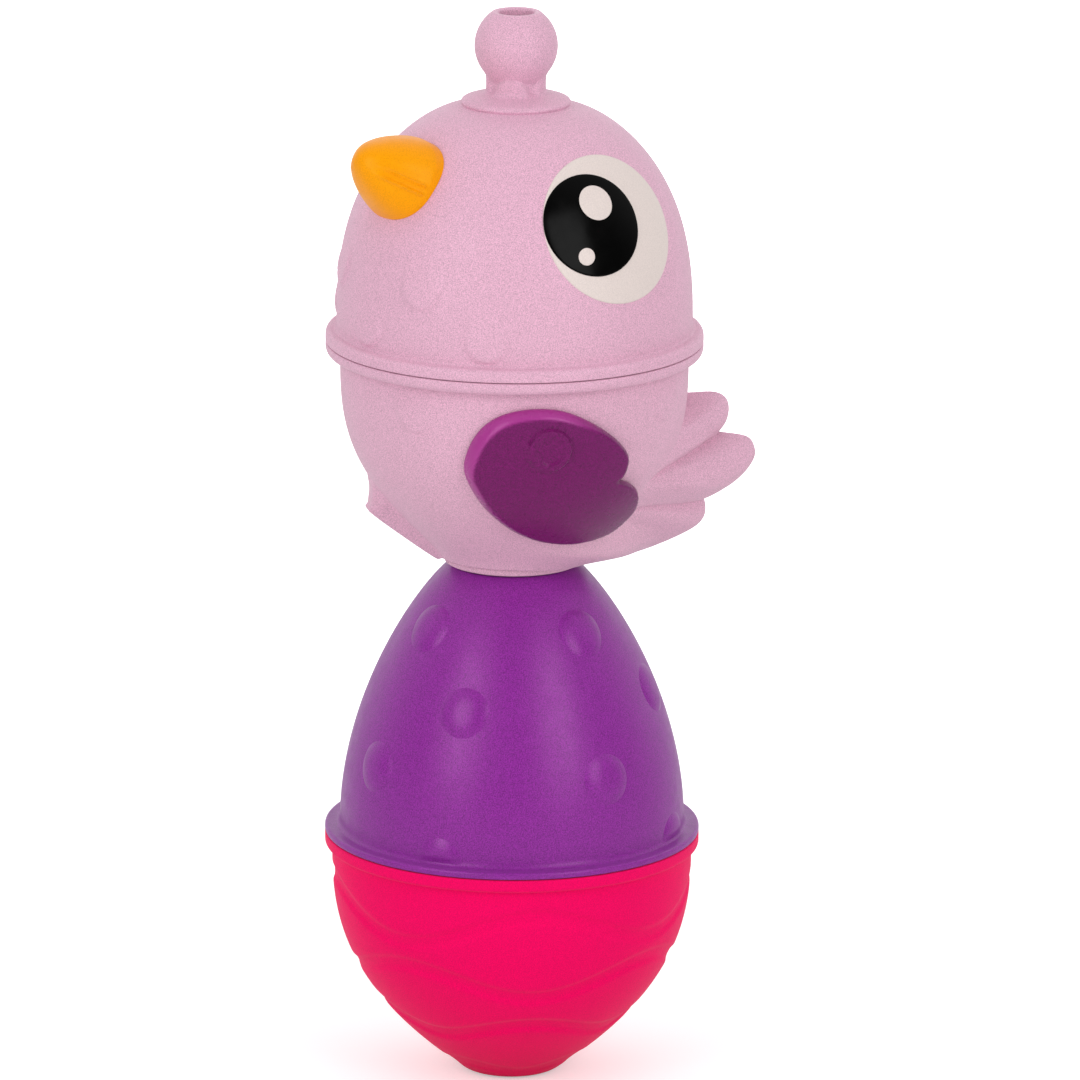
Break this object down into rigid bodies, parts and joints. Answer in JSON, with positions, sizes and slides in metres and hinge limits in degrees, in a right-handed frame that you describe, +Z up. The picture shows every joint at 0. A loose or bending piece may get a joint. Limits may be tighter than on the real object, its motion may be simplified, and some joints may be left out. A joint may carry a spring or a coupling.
{
  "type": "snap bead toy",
  "caption": "Moulded bird bead with a twist-off head, wings, beak and ball-stud topknot, snapped onto a two-part egg bead with round bumps and wavy grooves.",
  "frame": {"origin": "centre of the egg's flat foot, on the axis that every bead turns about", "axes": "+Z up along the stack, -Y towards the front of the bird's body, +X towards its left wing"},
  "size_m": [0.0626, 0.0715, 0.1793],
  "materials": {
    "lilac": "soft satin",
    "purple": "soft satin",
    "pink": "soft satin",
    "plum": "gloss",
    "orange": "satin",
    "eye_white": "satin",
    "black": "gloss",
    "inner_white": "satin"
  },
  "bodies": {
    "egg_cup": {"egg_cup": "pink"},
    "egg_coupling": {"egg_coupling": "inner_white"},
    "egg_dome": {"egg_dome": "purple", "egg_stud": "purple"},
    "bird_socket": {"bird_socket": "lilac"},
    "bird_body": {"body_shell": "lilac", "wing_left": "plum", "wing_right": "plum"},
    "bird_coupling": {"bird_coupling": "inner_white"},
    "bird_head": {"head_shell": "lilac", "head_stud": "lilac", "beak": "orange", "eye_white_left": "eye_white", "eye_white_right": "eye_white", "pupil_left": "black", "pupil_right": "black", "large_glint_left": "eye_white", "large_glint_right": "eye_white", "small_glint_left": "eye_white", "small_glint_right": "eye_white"}
  },
  "joints": [
    {"name": "egg_twist", "type": "hinge", "parent": "egg_cup", "child": "egg_coupling", "pos_m": [0, 0, 0.0412], "axis": [0, 0, 1], "continuous": true},
    {"name": "egg_pull", "type": "slide", "parent": "egg_coupling", "child": "egg_dome", "axis": [0, 0, 1], "range_m": [0, 0.02]},
    {"name": "bird_pull", "type": "slide", "parent": "egg_dome", "child": "bird_socket", "axis": [0, 0, 1], "range_m": [0, 0.025]},
    {"name": "bird_swivel", "type": "hinge", "parent": "bird_socket", "child": "bird_body", "pos_m": [0, 0, 0.0872], "axis": [0, 0, 1], "continuous": true},
    {"name": "head_twist", "type": "hinge", "parent": "bird_body", "child": "bird_coupling", "pos_m": [0, 0, 0.1245], "axis": [0, 0, 1], "continuous": true},
    {"name": "head_pull", "type": "slide", "parent": "bird_coupling", "child": "bird_head", "axis": [0, 0, 1], "range_m": [0, 0.02]}
  ]
}
